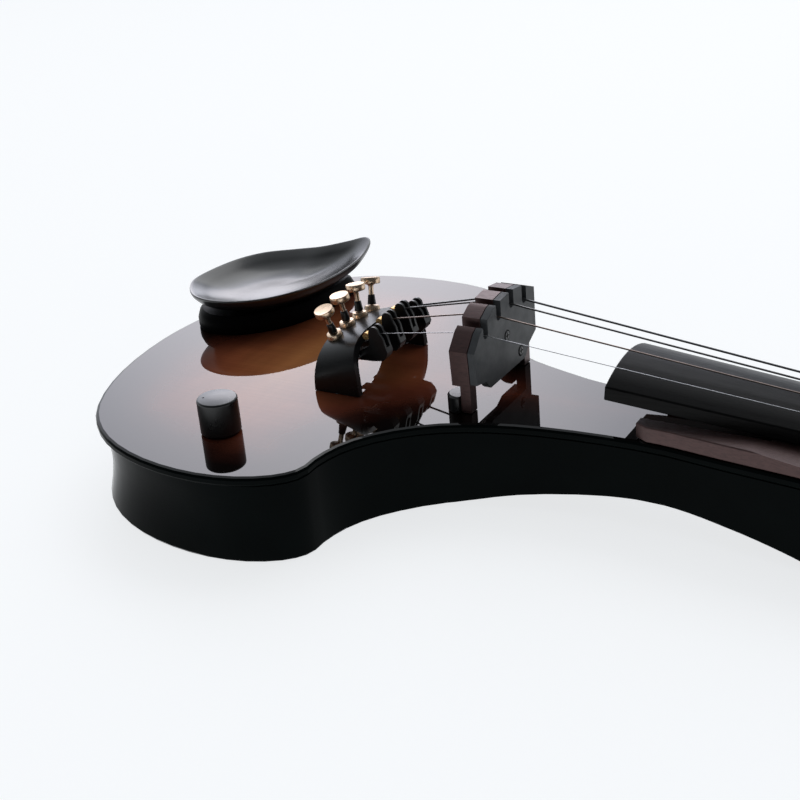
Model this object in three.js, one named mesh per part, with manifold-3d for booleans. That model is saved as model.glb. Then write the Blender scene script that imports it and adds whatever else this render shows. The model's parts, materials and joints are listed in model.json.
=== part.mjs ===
// Electric violin, 4/4 size, with a slim one-sided body, a built-in tailpiece arch with four fine
// tuners, a screwed two-layer bridge and a chin rest on a riser. Millimetres, +Z up.
//
// Design axes: +X runs from the tail to the scroll, +Y to the bass side. The design origin is under
// the front face of the bridge, on the flat top. The exported group is moved so that its origin lies
// on the flat back, below the middle of the lower bout.
import * as THREE from 'three';
import { mergeVertices } from 'three/addons/utils/BufferGeometryUtils.js';
import Module from 'manifold-3d';

const wasm = await Module();
wasm.setup();

// ---------------------------------------------------------------- driving dimensions, mm

const GAP = 0.3; // clearance between pieces that touch
const RUNNING = 0.3; // radial clearance of a turning piece in its hole

const bodyWidth = 205.6; // across the lower bout
const bodyTail = 170.8; // from the bridge's front face back to the tail
const bodyDepth = 36.5; // flat top to flat back
const plateThickness = 3.7;
const ribOverhang = 2.4; // how far the plate's edge stands out from the rib at the tail
const ribHollow = 2.0; // extra depth of the rib's concave curve
const chamberFloor = 4;
const ribTuck = 0.4; // how far the rib stands in from the plate's edge at the waist
const backRound = 0.5; // share of the overhang kept at the back's rounded edge

const scaleLength = 320; // bridge front face to the nut
const stringSpacing = [-17, -5.5, 5.8, 17.1]; // E, A, D, G at the bridge
const stringHeights = [29.7, 33.0, 34.0, 31.6]; // above the flat top, at the bridge's front face
const stringRadii = [0.16, 0.32, 0.38, 0.42];
const forkStringHeights = [23.0, 24.9, 25.3, 22.4]; // on the tuner levers' forks
const nutSpread = 16.5; // E to G at the nut
const nutAction = 0.8; // strings above the fingerboard at the nut

const boardStart = 49.4; // fingerboard end, from the bridge's front face
const boardStartHeight = 12.45; // its underside there, above the flat top
const boardSlope = 0.0961; // radians, down towards the nut
const boardHalfWidths = [21, 12]; // at the bridge end and at the nut
const boardEdge = 5.5; // side height
const boardRadius = 42; // arch of the playing surface

const heelLine = 147.3; // body to neck joint, along the fingerboard from its bridge end
const neckDepths = [[147, 21.4], [156, 17.6], [166, 14.6], [182, 13.2], [274, 12.6]];
const headDepth = 16.5;
const pegboxLength = 78;
const pegLine = -7.6; // peg axes, below the fingerboard's underside
const pegboxWidths = [24, 18];
const pegboxWall = 4.6;
const pegRadius = 3.3;
const pegStations = [18, 33, 50, 66]; // from the nut: G, E, D, A
const scrollRadius = 11;
const scrollWidths = [14.4, 20.4, 26]; // of the volute's three turns, from the outside in

const bridgeHalfWidth = 26.4;
const bridgeCoreDepth = 7.7; // along the strings
const bridgePlateThickness = 3;
const bridgeSlot = 3.8;
const bridgeUnderside = 11.3;
const bridgeLeg = [4.3, 5]; // along X, along Y
const bridgeLobe = [16.6, 7]; // half-width and height of the plate's lower lobe
const bridgeScrews = [[0.5, 22.7], [11.9, 11.5]]; // [y, z] of the upper and the lower screw
const bridgeScrewRadii = [1.3, 2]; // shank and head
const postRadius = 5.6;
const postInset = 3.9; // post centre in from the bridge's end
const postHeight = 7.4;

const archTail = -73.8;
const archFront = -52.8;
const archHalfWidth = 28.6;
const archHeights = [19.2, 22.8]; // at the tail side and at the front
const archSquareness = [2.6, 4];
const archWall = 2.8;
const archLean = 4.4; // how far the front edge leans back at the top

const tunerSpots = [-0.517, -0.171, 0.171, 0.517].map((share) => share * archHalfWidth);
const tunerTilts = [16, 6, -6, -16]; // degrees, away from the centre
const tunerLean = 8; // degrees, towards the tail
const tunerStation = -70.5;
const tunerHead = [4.1, 2.3]; // radius, thickness
const tunerReach = 11.6; // head above the arch
const tunerShaft = 0.8;
const tunerStem = 1.05; // bare shaft between the sleeve and the head
const tunerSleeve = [1.6, 4.2]; // radius, length
const tunerTip = -4.3; // screw tip, below the arch's skin
const tunerCollar = [3.3, 2.3];
const forkSpots = [-0.56, -0.182, 0.192, 0.563].map((share) => share * archHalfWidth);
const forkTops = [26.9, 28.8, 28.8, 25.9]; // above the flat top
const forkSlot = 2.2;
const forkFace = -52.3; // side of the forks that the balls rest on
const forkThickness = 4.7;
const leverWidth = 4.6;
const leverToe = [8.2, 2.8]; // front of the foot, from the fork's back face and the pivot
const leverPivot = [-57.4, 13.6];
const leverAxle = 1.2;
const ballRadius = 1.5;
const ballLength = 3;
const ballDrop = 0.8; // ball centre below its string

const knobSpot = [-88.7, -73.2];
const knobRadius = 8;
const knobHeight = 15.2;
const knobDome = 0.5; // rounding of its top edge
const knobFloat = 0.6;

const chinRestHeight = 18;
const chinRestWall = 3.2;
const chinRestDish = 6;

const riserHeight = 6.5;
const riserStart = 62.7;
const riserEnd = 150;
const riserRail = 7;
const riserInset = 0.4; // in from the plate's edge
const riserForkEnd = 112;

const coverSize = [112, 82];
const coverThickness = 2.2;
const coverLedge = 7;
const coverSpot = [-97, -5];
const coverScrewInset = 4.2;

const tracedTail = 170.8; // the outlines are drawn at this tail reach and width, then scaled
const tracedWidth = 205.6;
const originX = -85; // the exported origin, from the bridge's front face

// ---------------------------------------------------------------- shape helpers

const lerp = (a, b, t) => a + (b - a) * t;
const rad = THREE.MathUtils.degToRad;

/** A table of [position, value] rows read between its rows. */
function along(table, x) {
  let i = 0;
  while (i < table.length - 2 && x > table[i + 1][0]) i += 1;
  const [[x0, v0], [x1, v1]] = [table[i], table[i + 1]];
  return lerp(v0, v1, THREE.MathUtils.smoothstep(x, x0, x1));
}

/** Twice the signed volume tells which way a closed geometry's faces point. */
function facesOut(geometry) {
  const p = geometry.attributes.position;
  const index = geometry.index.array;
  const [a, b, c] = [new THREE.Vector3(), new THREE.Vector3(), new THREE.Vector3()];
  let volume = 0;
  for (let i = 0; i < index.length; i += 3) {
    a.fromBufferAttribute(p, index[i]);
    b.fromBufferAttribute(p, index[i + 1]);
    c.fromBufferAttribute(p, index[i + 2]);
    volume += a.dot(b.cross(c));
  }
  if (volume < 0) for (let i = 0; i < index.length; i += 3) {
    [index[i], index[i + 1]] = [index[i + 1], index[i]];
  }
  return geometry;
}

/** Closed skin over rings of equal length, with a flat cap on the first and the last ring. */
function loft(rings, capAxes = ['x', 'y']) {
  const n = rings[0].length;
  const positions = rings.flat().flatMap((v) => [v.x, v.y, v.z]);
  const index = [];
  for (let r = 0; r < rings.length - 1; r += 1) for (let i = 0; i < n; i += 1) {
    const [a, b] = [r * n + i, r * n + ((i + 1) % n)];
    index.push(a, b, a + n, b, b + n, a + n);
  }
  const [u, v] = capAxes;
  const flat = (ring) => ring.map((q) => new THREE.Vector2(q[u], q[v]));
  const isClockwise = THREE.ShapeUtils.isClockWise(flat(rings[0]));
  for (const [ring, base, flip] of [[rings[0], 0, true], [rings.at(-1), (rings.length - 1) * n, false]]) {
    for (const [a, b, c] of THREE.ShapeUtils.triangulateShape(flat(ring), [])) {
      const turned = flip !== isClockwise;
      index.push(base + a, base + (turned ? c : b), base + (turned ? b : c));
    }
  }
  const geometry = new THREE.BufferGeometry();
  geometry.setAttribute('position', new THREE.Float32BufferAttribute(positions, 3));
  geometry.setIndex(index);
  return facesOut(geometry);
}

/** Moves every vertex of a geometry by a function of its place. */
function warp(geometry, place) {
  const p = geometry.attributes.position;
  for (let i = 0; i < p.count; i += 1) {
    p.setXYZ(i, ...place(p.getX(i), p.getY(i), p.getZ(i)));
  }
  return geometry;
}

function solid(geometry) {
  const bare = geometry.clone();
  for (const name of Object.keys(bare.attributes)) if (name !== 'position') bare.deleteAttribute(name);
  const merged = mergeVertices(bare, 1e-4);
  return new wasm.Manifold(new wasm.Mesh({
    numProp: 3,
    vertProperties: new Float32Array(merged.attributes.position.array),
    triVerts: new Uint32Array(merged.index.array),
  }));
}

function geometryOf(manifold) {
  const { vertProperties, triVerts, numProp } = manifold.getMesh();
  const positions = [];
  for (let i = 0; i < vertProperties.length; i += numProp) {
    positions.push(vertProperties[i], vertProperties[i + 1], vertProperties[i + 2]);
  }
  const geometry = new THREE.BufferGeometry();
  geometry.setAttribute('position', new THREE.Float32BufferAttribute(positions, 3));
  geometry.setIndex([...triVerts]);
  return geometry;
}

const cut = (geometry, ...cutters) =>
  geometryOf(cutters.reduce((left, cutter) => left.subtract(solid(cutter)), solid(geometry)));
const join = (first, ...others) =>
  geometryOf(others.reduce((left, other) => left.add(solid(other)), solid(first)));

/** Box between two corners. */
function box([x0, y0, z0], [x1, y1, z1]) {
  const geometry = new THREE.BoxGeometry(x1 - x0, y1 - y0, z1 - z0);
  return geometry.translate((x0 + x1) / 2, (y0 + y1) / 2, (z0 + z1) / 2);
}

/** Upright cylinder from a bottom height to a top height. */
function post(x, y, radius, z0, z1, sides = 32) {
  const geometry = new THREE.CylinderGeometry(radius, radius, z1 - z0, sides);
  return geometry.rotateX(Math.PI / 2).translate(x, y, (z0 + z1) / 2);
}

/** Solid of revolution about Z from [radius, height] points that start and end on the axis. */
function turned(points, sides = 32) {
  const profile = points.map(([r, z]) => new THREE.Vector2(r, z));
  return new THREE.LatheGeometry(profile, sides).rotateX(Math.PI / 2);
}

const shapeOf = (points) => new THREE.Shape(points.map(([x, y]) => new THREE.Vector2(x, y)));

/** Outline drawn in the YZ plane, extruded along X between two stations. */
function acrossX(points, x0, x1) {
  const geometry = new THREE.ExtrudeGeometry(shapeOf(points), { depth: x1 - x0, bevelEnabled: false });
  return warp(geometry, (y, z, x) => [x0 + x, y, z]);
}

/** Outline drawn in the XZ plane, extruded along Y between two stations. */
function acrossY(points, y0, y1) {
  const geometry = new THREE.ExtrudeGeometry(shapeOf(points), { depth: y1 - y0, bevelEnabled: false });
  return geometry.rotateX(Math.PI / 2).translate(0, y1, 0);
}

/** Outline drawn in plan, extruded upwards between two heights, with an optional small chamfer. */
function upright(points, z0, z1, chamfer = 0) {
  const geometry = new THREE.ExtrudeGeometry(shapeOf(points), {
    depth: z1 - z0 - 2 * chamfer,
    bevelEnabled: chamfer > 0,
    bevelThickness: chamfer,
    bevelSize: chamfer,
    bevelOffset: -chamfer,
    bevelSegments: 1,
  });
  return geometry.translate(0, 0, z0 + chamfer);
}

/** Corner points of a rectangle with round corners. */
function roundedRectangle(cx, cy, width, height, radius, steps = 5) {
  const points = [];
  for (const [sx, sy, start] of [[1, 1, 0], [-1, 1, 1], [-1, -1, 2], [1, -1, 3]]) {
    for (let i = 0; i <= steps; i += 1) {
      const a = (start + i / steps) * (Math.PI / 2);
      points.push([
        cx + sx * (width / 2 - radius) + radius * Math.cos(a),
        cy + sy * (height / 2 - radius) + radius * Math.sin(a),
      ]);
    }
  }
  return points;
}

/** A route through given points, taken as they are, for a string. */
class Route extends THREE.Curve {
  constructor(points) {
    super();
    this.points = points;
  }

  getSpacedPoints() {
    return this.points;
  }

  getTangentAt(u, target = new THREE.Vector3()) {
    const i = Math.round(u * (this.points.length - 1));
    const before = this.points[Math.max(i - 1, 0)];
    const after = this.points[Math.min(i + 1, this.points.length - 1)];
    return target.subVectors(after, before).normalize();
  }
}

function tube(points, radius, sides = 8) {
  const ring = Array.from({ length: sides }, (_, i) => {
    const a = (i / sides) * 2 * Math.PI;
    return [radius * Math.cos(a), radius * Math.sin(a)];
  });
  const route = new Route(points);
  return new THREE.ExtrudeGeometry(shapeOf(ring), { steps: points.length - 1, extrudePath: route });
}

// ---------------------------------------------------------------- materials

const finish = (color, roughness, metalness = 0) => () =>
  new THREE.MeshStandardMaterial({ color, roughness, metalness });
const blackLacquer = finish(0x0c0b0c, 0.08);
const sunburst = finish(0x8a4a22, 0.06);
const ebony = finish(0x1b191a, 0.4);
const rosewood = finish(0x4a2f28, 0.5);
const neckLacquer = finish(0x14110f, 0.15);
const satinBlack = finish(0x202224, 0.35);
const blackSteel = finish(0x3a3d40, 0.38, 0.8);
const gold = finish(0xc9a26b, 0.25, 1);
const brass = finish(0xb98a4e, 0.3, 1);
const steel = finish(0xb8bcc0, 0.25, 1);
const boardGreen = finish(0x1d4a33, 0.5);
const batteryGrey = finish(0x565a60, 0.45, 0.3);

// ---------------------------------------------------------------- assembly frame

const instrument = new THREE.Group();
const design = new THREE.Group(); // origin under the bridge's front face, on the flat top
design.position.set(-originX, 0, bodyDepth);
instrument.add(design);

const neckFrame = new THREE.Group(); // origin below the fingerboard's bridge end, X along it
neckFrame.position.set(boardStart, 0, boardStartHeight);
neckFrame.rotation.y = boardSlope;
design.add(neckFrame);
neckFrame.updateMatrix();

function add(name, geometry, material, parent = design) {
  if (geometry.index) geometry.computeVertexNormals();
  const mesh = new THREE.Mesh(geometry, material());
  mesh.name = name;
  parent.add(mesh);
  return mesh;
}

const boardLength = (scaleLength - boardStart) / Math.cos(boardSlope);

// ---------------------------------------------------------------- body

const waistX = 1;
const tailScale = bodyTail / tracedTail;
const widthScale = bodyWidth / tracedWidth;

/** Outline points by hand, tail side scaled with the body's length and width. */
const outlineAt = ([x, y]) => new THREE.Vector3(x < 0 ? x * tailScale : x, y * widthScale, 0);
const trebleSide = [
  [200, -17], [189, -23.5], [176, -31], [160, -35], [142, -34.8], [122, -32.3], [96, -29.3],
  [72, -26], [48, -26], [22.5, -28.5], [3.6, -32.9], [-14, -40.6], [-28, -51.8], [-37, -64.5],
  [-40.6, -77], [-41.4, -88.5], [-47, -96], [-59, -102.7], [-75, -106.3], [-93, -106.1],
  [-111, -102.4], [-128, -95.2], [-142, -85], [-153, -72], [-162.6, -51.7], [-168.5, -29],
  [-170.8, -5],
];
const bassSide = [
  [-169.8, 13], [-166.2, 33], [-159.5, 52], [-150, 68.5], [-139.5, 81], [-128, 89.5], [-112, 96],
  [-90, 98.9], [-66, 97.5], [-50, 92], [-42, 83], [-38.5, 72], [-34, 60.5], [-26, 48.5],
  [-15, 37.5], [-4.3, 30.2], [11, 24.5], [33, 18.3], [52, 16.8], [74, 17.2], [98, 20.5],
  [124, 25], [146, 28.8], [164, 29], [178, 26.2], [189, 21.5], [200, 17],
];
const bodyCurve = new THREE.CatmullRomCurve3([...trebleSide, ...bassSide].map(outlineAt), false);
const bodyOutline = bodyCurve.getPoints(2 * (trebleSide.length + bassSide.length));

/** The body's side at a station right of the waist: side -1 is treble, 1 is bass. */
function sideAt(x, side) {
  const run = bodyOutline.filter((q) => q.y * side > 0 && q.x > waistX).sort((a, b) => a.x - b.x);
  const i = Math.max(1, run.findIndex((q) => q.x >= x));
  return lerp(run[i - 1].y, run[i].y, (x - run[i - 1].x) / (run[i].x - run[i - 1].x));
}

const outlineNormals = bodyOutline.map((q, i) => {
  const before = bodyOutline[Math.max(i - 1, 0)];
  const after = bodyOutline[Math.min(i + 1, bodyOutline.length - 1)];
  return new THREE.Vector2(before.y - after.y, after.x - before.x).normalize();
});

/** The outline moved inwards by an amount that may depend on the place, at one height. */
const inset = (amount, z) => bodyOutline.map((q, i) => {
  const by = typeof amount === 'function' ? amount(q) : amount;
  const n = outlineNormals[i];
  return new THREE.Vector3(q.x - n.x * by, q.y - n.y * by, z);
});

const boardClearance = box([-4, -40, -GAP], [boardLength, 40, 60]).applyMatrix4(neckFrame.matrix);
const heelCut = box([heelLine, -60, -80], [heelLine + 90, 60, 80]).applyMatrix4(neckFrame.matrix);

const chamberCentre = [-98 * tailScale, -5 * widthScale];
const chamberHalf = [50 * tailScale, 85 * widthScale];
function chamber() {
  const oval = Array.from({ length: 36 }, (_, i) => {
    const a = (i / 36) * 2 * Math.PI;
    return [
      chamberCentre[0] + chamberHalf[0] * Math.cos(a),
      chamberCentre[1] + chamberHalf[1] * Math.sin(a),
    ];
  });
  return upright(oval, -bodyDepth + chamberFloor, 5);
}

/** The space below the waist and the neck heel that the body's underside clears. */
function undersideRelief() {
  const d = bodyDepth;
  const arch = [
    [-46, -d], [-24, -d + 1.2], [-4, -d + 2.9], [16, -d + 6.4], [36, -d + 9.3], [54, -d + 11.4],
    [68, -d + 12.1], [84, -d + 11.8], [102, -d + 9.6], [118, -d + 6.5], [134, -d + 2.6], [148, -d],
  ];
  const under = new THREE.SplineCurve(arch.map(([x, z]) => new THREE.Vector2(x, z))).getPoints(36);
  const heel = new THREE.SplineCurve([
    new THREE.Vector2(168, -d), new THREE.Vector2(182, -d + 5), new THREE.Vector2(192, -d + 10.6),
    new THREE.Vector2(204, -d + 14),
  ]).getPoints(12);
  const close = (curve, x0, x1) => [...curve.map((q) => [q.x, q.y]), [x1, -2 * d], [x0, -2 * d]];
  return [
    acrossY(close(under, -46, 148), -150, 150),
    acrossY(close(heel, 168, 230), -150, 150),
  ];
}

const plateUnder = -plateThickness;
const atTail = (q) => THREE.MathUtils.smoothstep(-q.x, 45, 105);
const ribLevels = 5;
const ribTop = plateUnder - GAP;
const ribRings = [];
for (let i = 0; i <= ribLevels; i += 1) {
  const t = i / ribLevels;
  const hollow = ribHollow * Math.sin(Math.PI * t);
  const by = (q) => ribTuck + atTail(q) * (ribOverhang * lerp(1, backRound * 0.4, t) + hollow);
  ribRings.push(inset(by, lerp(ribTop, -bodyDepth + 1.2, t)));
}
for (const [round, rise] of [[0.5, 0.35], [1.4, 0]]) {
  const by = (q) => ribTuck + round + atTail(q) * ribOverhang * backRound * 0.4;
  ribRings.push(inset(by, -bodyDepth + rise));
}

const knobX = knobSpot[0] * tailScale;
const knobY = knobSpot[1] * widthScale;
const coverX = coverSpot[0] * tailScale;
const coverY = coverSpot[1] * widthScale;
const coverScrews = [[-1, -1], [1, -1], [1, 1], [-1, 1]].map(([sx, sy]) => [
  coverX + sx * (coverSize[0] / 2 - coverScrewInset),
  coverY + sy * (coverSize[1] / 2 - coverScrewInset),
]);
const chinRestBolts = [[-152, 26], [-139, 52]].map(([x, y]) => [x * tailScale, y * widthScale]);
const archBolts = [-1, 1].map((s) => [(archTail + archFront) / 2, s * (archHalfWidth - 1.9)]);
const boltRadius = 1.6;
const boltDepth = 15;
const jackX = chamberCentre[0];
const jackRadius = 4.8;
const jackY = 98.6 * widthScale;

add('body_shell', cut(
  loft(ribRings),
  ...undersideRelief(), boardClearance, heelCut, chamber(),
  upright(roundedRectangle(coverX, coverY, coverSize[0] + 2 * GAP, coverSize[1] + 2 * GAP, 6.3),
    -bodyDepth - 1, -bodyDepth + coverThickness + GAP),
  upright(roundedRectangle(coverX, coverY, coverSize[0] - 2 * coverLedge,
    coverSize[1] - 2 * coverLedge, 4), -bodyDepth - 1, -bodyDepth + 2 * chamberFloor),
  ...coverScrews.map(([x, y]) => post(x, y, 1.2, -bodyDepth - 1, -bodyDepth + 11, 12)),
  ...[...chinRestBolts, ...archBolts].map(([x, y]) => post(x, y, boltRadius + GAP, -boltDepth - 1, 5, 16)),
  new THREE.CylinderGeometry(jackRadius + GAP, jackRadius + GAP, 60, 28)
    .translate(jackX, chamberHalf[1] + chamberCentre[1], -bodyDepth / 2),
), blackLacquer);

const plateRings = [
  [0.6, plateUnder], [0, plateUnder + 0.8], [0, -1.3], [0.5, -0.4], [1.5, 0],
].map(([by, z]) => inset(by, z));
const bushingRadius = 3.6;
add('top_plate', cut(
  loft(plateRings),
  boardClearance, heelCut,
  post(knobX, knobY, bushingRadius + GAP, -10, 5, 24),
  ...[...chinRestBolts, ...archBolts].map(([x, y]) => post(x, y, boltRadius + GAP, -10, 5, 16)),
), sunburst);

// ---------------------------------------------------------------- back cover and electronics

const coverOuter = -bodyDepth;
add('cavity_cover', cut(
  upright(roundedRectangle(coverX, coverY, coverSize[0], coverSize[1], 6), coverOuter,
    coverOuter + coverThickness, 0.4),
  ...coverScrews.map(([x, y]) => post(x, y, 1.7, -bodyDepth - 1, -20, 14)),
  ...coverScrews.map(([x, y]) => post(x, y, 2.9, -bodyDepth - 1, coverOuter + 1.1, 18)),
), satinBlack);
coverScrews.forEach(([x, y], i) => {
  const screw = turned([[0, 0], [2.5, 0], [2.5, 0.7], [0.95, 0.8], [0.95, 8.2], [0, 9.2]], 18);
  add(`cover_screw_${i + 1}`, screw.translate(x, y, coverOuter + 0.05), blackSteel);
});

const coverInner = coverOuter + coverThickness + GAP;
const batteryCentre = [coverX - 27, coverY];
const [batteryX, batteryY] = batteryCentre;
add('battery', join(
  box([batteryX - 12.6, batteryY - 24, coverInner + 1.1], [batteryX + 12.6, batteryY + 20, coverInner + 18]),
  box([batteryX - 9, batteryY + 19, coverInner + 5], [batteryX + 9, batteryY + 22.5, coverInner + 14]),
), batteryGrey);
add('battery_clip', join(
  box([batteryX - 14.3, batteryY - 8, coverInner], [batteryX + 14.3, batteryY + 8, coverInner + 0.8]),
  box([batteryX - 14.3, batteryY - 8, coverInner], [batteryX - 13, batteryY + 8, coverInner + 13]),
  box([batteryX + 13, batteryY - 8, coverInner], [batteryX + 14.3, batteryY + 8, coverInner + 13]),
), steel);
const boardX = coverX + 17;
add('preamp_board', join(
  box([boardX - 20, coverY - 26, coverInner + 4], [boardX + 20, coverY + 26, coverInner + 5.6]),
  ...[[-16, -22], [16, -22], [-16, 22], [16, 22]].map(([dx, dy]) =>
    post(boardX + dx, coverY + dy, 2.4, coverInner, coverInner + 4.5, 12)),
  box([boardX - 12, coverY - 12, coverInner + 5], [boardX - 2, coverY + 8, coverInner + 8.4]),
  box([boardX + 4, coverY - 16, coverInner + 5], [boardX + 12, coverY - 9, coverInner + 11]),
  post(boardX + 8, coverY + 10, 3.4, coverInner + 5, coverInner + 13, 16),
), boardGreen);

const jackFlange = chamberCentre[1] + chamberHalf[1] - 1.2 - jackY;
const jackTurn = (geometry) => geometry.rotateX(-Math.PI / 2).translate(jackX, jackY, -bodyDepth / 2);
add('output_jack', jackTurn(cut(
  turned([[0, jackFlange - 9], [6.6, jackFlange - 9], [6.6, jackFlange], [jackRadius, jackFlange],
    [jackRadius, 1.6], [0, 1.6]], 24),
  post(0, 0, 3.25, jackFlange - 6, 5, 20),
)), blackSteel);
add('jack_nut', jackTurn(cut(
  turned([[0, 0.4], [7.6, 0.4], [7.6, 2.2], [6.9, 2.9], [0, 2.9]], 28),
  post(0, 0, jackRadius + GAP, -5, 9, 28),
)), steel);

// ---------------------------------------------------------------- volume control

const shaftRadius = 2.9;
const potCase = 8.4;
add('potentiometer', cut(
  turned([[0, -15], [potCase, -15], [potCase, plateUnder - 2 * GAP - 0.6],
    [bushingRadius, plateUnder - 2 * GAP - 0.6], [bushingRadius, 0.3], [0, 0.3]], 28),
  post(0, 0, shaftRadius + RUNNING, -13, 8, 28),
).translate(knobX, knobY, 0), blackSteel);
const shaftTop = 0.66 * knobHeight;
add('potentiometer_shaft', post(knobX, knobY, shaftRadius, -12.6, shaftTop, 24), steel);
add('volume_knob', cut(
  turned([[0, knobFloat], [knobRadius - 0.3, knobFloat], [knobRadius, knobFloat + 0.5],
    [knobRadius, knobHeight - 3 * knobDome], [knobRadius - knobDome, knobHeight - 1.5 * knobDome],
    [knobRadius - 3 * knobDome, knobHeight - 0.6 * knobDome],
    [0.5 * knobRadius, knobHeight - 0.1], [0, knobHeight]], 28),
  post(0, 0, shaftRadius + GAP, -2, shaftTop + GAP, 24),
).translate(knobX, knobY, 0), satinBlack);

// ---------------------------------------------------------------- chin rest

/** Rim of the cup by hand: [x, y, height above the flat top]. */
const chinRim = [
  [-169.5, 25, 1], [-167, 14.5, 0.4], [-159, 6, 0], [-148, 2.8, 0], [-137, 4.6, 0], [-126.5, 10.8, 0],
  [-118, 21, 0], [-112, 34, 0], [-109, 47, 0.2], [-108, 60, 0.8], [-108.2, 71, 2], [-110, 80.5, 4.2],
  [-114.5, 84.5, 5], [-121.5, 80.5, 3.8], [-131.5, 73.2, 2.6], [-143, 67.5, 2], [-156, 58.5, 2],
  [-164.5, 45, 1.8],
].map(([x, y, dz]) => new THREE.Vector3(x * tailScale, y * widthScale, chinRestHeight + dz));
const chinCurve = new THREE.CatmullRomCurve3(chinRim, true);
const chinLoop = chinCurve.getPoints(54).slice(0, -1);
const chinCentre = new THREE.Vector3(-138 * tailScale, 38 * widthScale, 0);

/** The rim drawn towards the cup's centre by a share, at a drop below the rim. */
const chinRing = (share, drop, level = 0) => chinLoop.map((q) => {
  const p = q.clone().lerp(new THREE.Vector3(chinCentre.x, chinCentre.y, q.z), share);
  p.z = lerp(q.z, chinRestHeight, level) - drop;
  return p;
});
const cupRings = [
  chinRing(0.97, chinRestDish + chinRestWall, 1),
  chinRing(0.4, chinRestDish + chinRestWall - 0.6, 1),
  chinRing(0.22, chinRestDish * 0.75 + chinRestWall - 0.6, 0.7),
  chinRing(0.1, chinRestDish * 0.45 + chinRestWall - 0.8, 0.4),
  chinRing(0.03, 3.0, 0.1),
  chinRing(0.004, 0.4),
  chinRing(0.025, 0),
  chinRing(0.13, chinRestDish * 0.3, 0.1),
  chinRing(0.25, chinRestDish * 0.62, 0.4),
  chinRing(0.42, chinRestDish * 0.88, 0.7),
  chinRing(0.65, chinRestDish * 0.99, 1),
  chinRing(0.97, chinRestDish, 1),
];
add('chin_rest_cup', loft(cupRings), satinBlack);
const blockTop = chinRestHeight - chinRestDish - chinRestWall - GAP;

/** The block stands close under the rim at the tail and further in towards the tip. */
const towardsTip = (q) => THREE.MathUtils.smoothstep(q.x, -160 * tailScale, -120 * tailScale);
const blockShare = (q) => lerp(0.06, 0.2, towardsTip(q));
const blockRings = [
  [0.012, GAP], [0, 1], [0, 0.5 * blockTop], [0.03, 0.85 * blockTop], [0.07, blockTop],
].map(([taper, z]) => chinLoop.map((q) => {
  const p = q.clone().lerp(chinCentre, blockShare(q) + taper);
  return p.setZ(z);
}));
const boltHead = [3, 1.8];
add('chin_rest_block', cut(
  loft(blockRings),
  ...chinRestBolts.map(([x, y]) => post(x, y, boltRadius + GAP, -5, blockTop + 5, 16)),
  ...chinRestBolts.map(([x, y]) =>
    post(x, y, boltHead[0] + GAP, blockTop - boltHead[1] - 2 * GAP, blockTop + 5, 20)),
), satinBlack);
const boltTop = blockTop - GAP;
chinRestBolts.forEach(([x, y], i) => {
  const bolt = turned([[0, -boltDepth], [boltRadius, -boltDepth], [boltRadius, boltTop - boltHead[1]],
    [boltHead[0], boltTop - boltHead[1]], [boltHead[0], boltTop], [0, boltTop]], 20);
  add(`chin_rest_bolt_${i + 1}`, bolt.translate(x, y, 0), blackSteel);
});

// ---------------------------------------------------------------- tailpiece arch

/** Point of the arch's skin: angle 0 is the bass foot, s 0 the tail side and 1 the front. */
function archPoint(angle, s, wall) {
  const n = lerp(archSquareness[0], archSquareness[1], s);
  const height = lerp(archHeights[0], archHeights[1], s) - wall;
  const shape = (v) => Math.sign(v) * Math.abs(v) ** (2 / n);
  const y = (archHalfWidth - wall) * shape(Math.cos(angle));
  const z = Math.max(height * shape(Math.sin(angle)), GAP);
  const front = archFront - archLean * (z / archHeights[1]) ** 2;
  return new THREE.Vector3(lerp(archTail, front, s), y, z);
}
const archSteps = 26;
const archRing = (s) => {
  const angle = (i) => (i / archSteps) * Math.PI;
  const steps = Array.from({ length: archSteps + 1 }, (_, i) => i);
  return [
    ...steps.map((i) => archPoint(angle(i), s, 0)),
    ...steps.toReversed().map((i) => archPoint(angle(i), s, archWall)),
  ];
};

/** Height of the arch's outer skin above a place. */
function archHeightAt(x, y) {
  const s = (x - archTail) / (archFront - archTail);
  const n = lerp(archSquareness[0], archSquareness[1], s);
  const height = lerp(archHeights[0], archHeights[1], s);
  return height * (1 - Math.abs(y / archHalfWidth) ** n) ** (1 / n);
}

const tuners = tunerSpots.map((y, i) => {
  const frame = new THREE.Group();
  frame.position.set(tunerStation, y, archHeightAt(tunerStation, y));
  frame.rotation.set(rad(tunerTilts[i]), rad(-tunerLean), 0);
  frame.updateMatrix();
  return frame;
});
const boltTip = 0.8; // the bolts' thin ends screw up into the arch's feet
const shaftHole = tunerShaft + RUNNING;
const archInnerAt = (z) => (archHalfWidth - archWall) * (1 - (z / (archHeights[1] - archWall)) ** 4) ** 0.25;
const axleHalf = archInnerAt(leverPivot[1]) + 0.8;
const axle = (radius, half) => new THREE.CylinderGeometry(radius, radius, 2 * half, 20)
  .translate(leverPivot[0], 0, leverPivot[1]);
add('tailpiece_arch', cut(
  loft([0, 0.5, 1].map(archRing), ['y', 'z']),
  ...tuners.map((frame) => post(0, 0, shaftHole, -12, 6, 10).applyMatrix4(frame.matrix)),
  ...tuners.map((frame) => post(0, 0, tunerCollar[0] + GAP, GAP - 0.9, 6, 16).applyMatrix4(frame.matrix)),
  axle(leverAxle + GAP, axleHalf + GAP),
  ...archBolts.map(([x, y]) => post(x, y, boltTip + GAP, -5, 7, 14)),
), satinBlack);
archBolts.forEach(([x, y], i) => {
  const bolt = turned([[0, -boltDepth], [boltRadius, -boltDepth], [boltRadius, -GAP], [boltTip, -GAP],
    [boltTip, 6], [0, 6]], 16);
  add(`arch_bolt_${i + 1}`, bolt.translate(x, y, 0), blackSteel);
});
add('lever_axle', axle(leverAxle, axleHalf), steel);

// ---------------------------------------------------------------- fine tuners

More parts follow.
